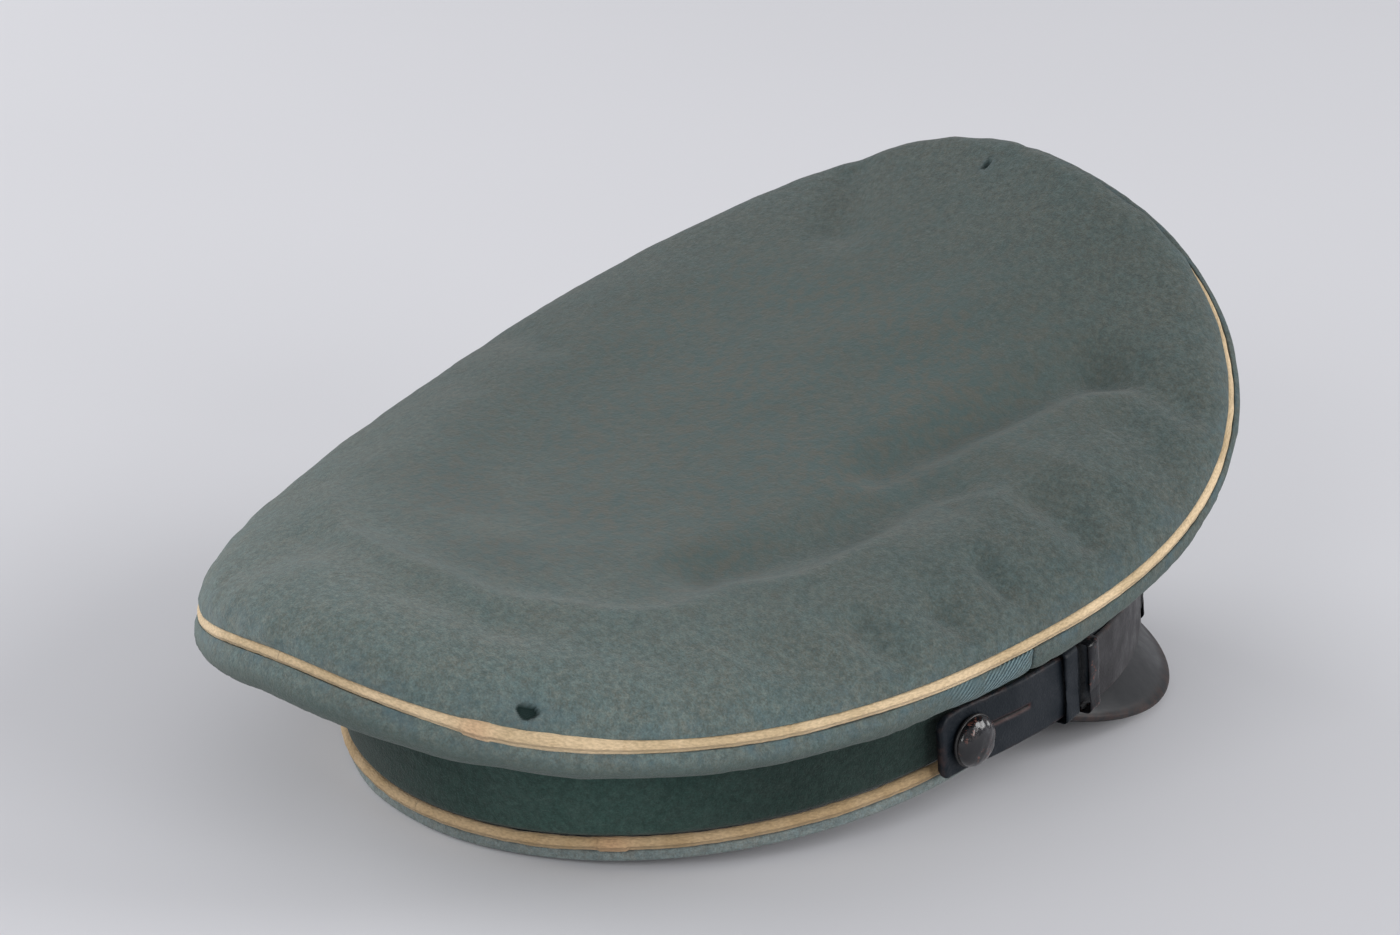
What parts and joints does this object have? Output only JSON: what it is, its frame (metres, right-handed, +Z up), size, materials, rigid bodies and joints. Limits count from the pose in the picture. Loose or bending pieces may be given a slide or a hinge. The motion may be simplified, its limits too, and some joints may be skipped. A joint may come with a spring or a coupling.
{
  "type": "peaked cap",
  "caption": "Soft grey-green wool peaked cap with a saddle crown, dark green band, cream piping, short patent peak and a loose leather chin strap.",
  "frame": {"origin": "centre of the cap's bounding box, on the floor it rests on", "axes": "+Z up, -Y towards the peak at the front, +X towards the wearer's left"},
  "size_m": [0.2306, 0.2788, 0.1284],
  "materials": {
    "field_cloth": "matte",
    "band_cloth": "matte",
    "piping_cord": "matte",
    "strap_leather": "satin",
    "peak_patent": "gloss",
    "black_enamel": "gloss"
  },
  "bodies": {
    "root": {"crown_top": "field_cloth", "side_front": "field_cloth", "side_rear": "field_cloth", "crown_piping": "piping_cord", "band": "band_cloth", "band_piping_upper": "piping_cord", "band_piping_lower": "piping_cord", "band_edge": "field_cloth", "peak": "peak_patent", "strap_inner": "strap_leather", "strap_outer": "strap_leather", "keeper_right": "strap_leather", "keeper_left": "strap_leather", "buckle_right": "black_enamel", "buckle_left": "black_enamel", "slide_right": "black_enamel", "slide_left": "black_enamel", "button_right": "black_enamel", "button_left": "black_enamel"}
  },
  "joints": []
}
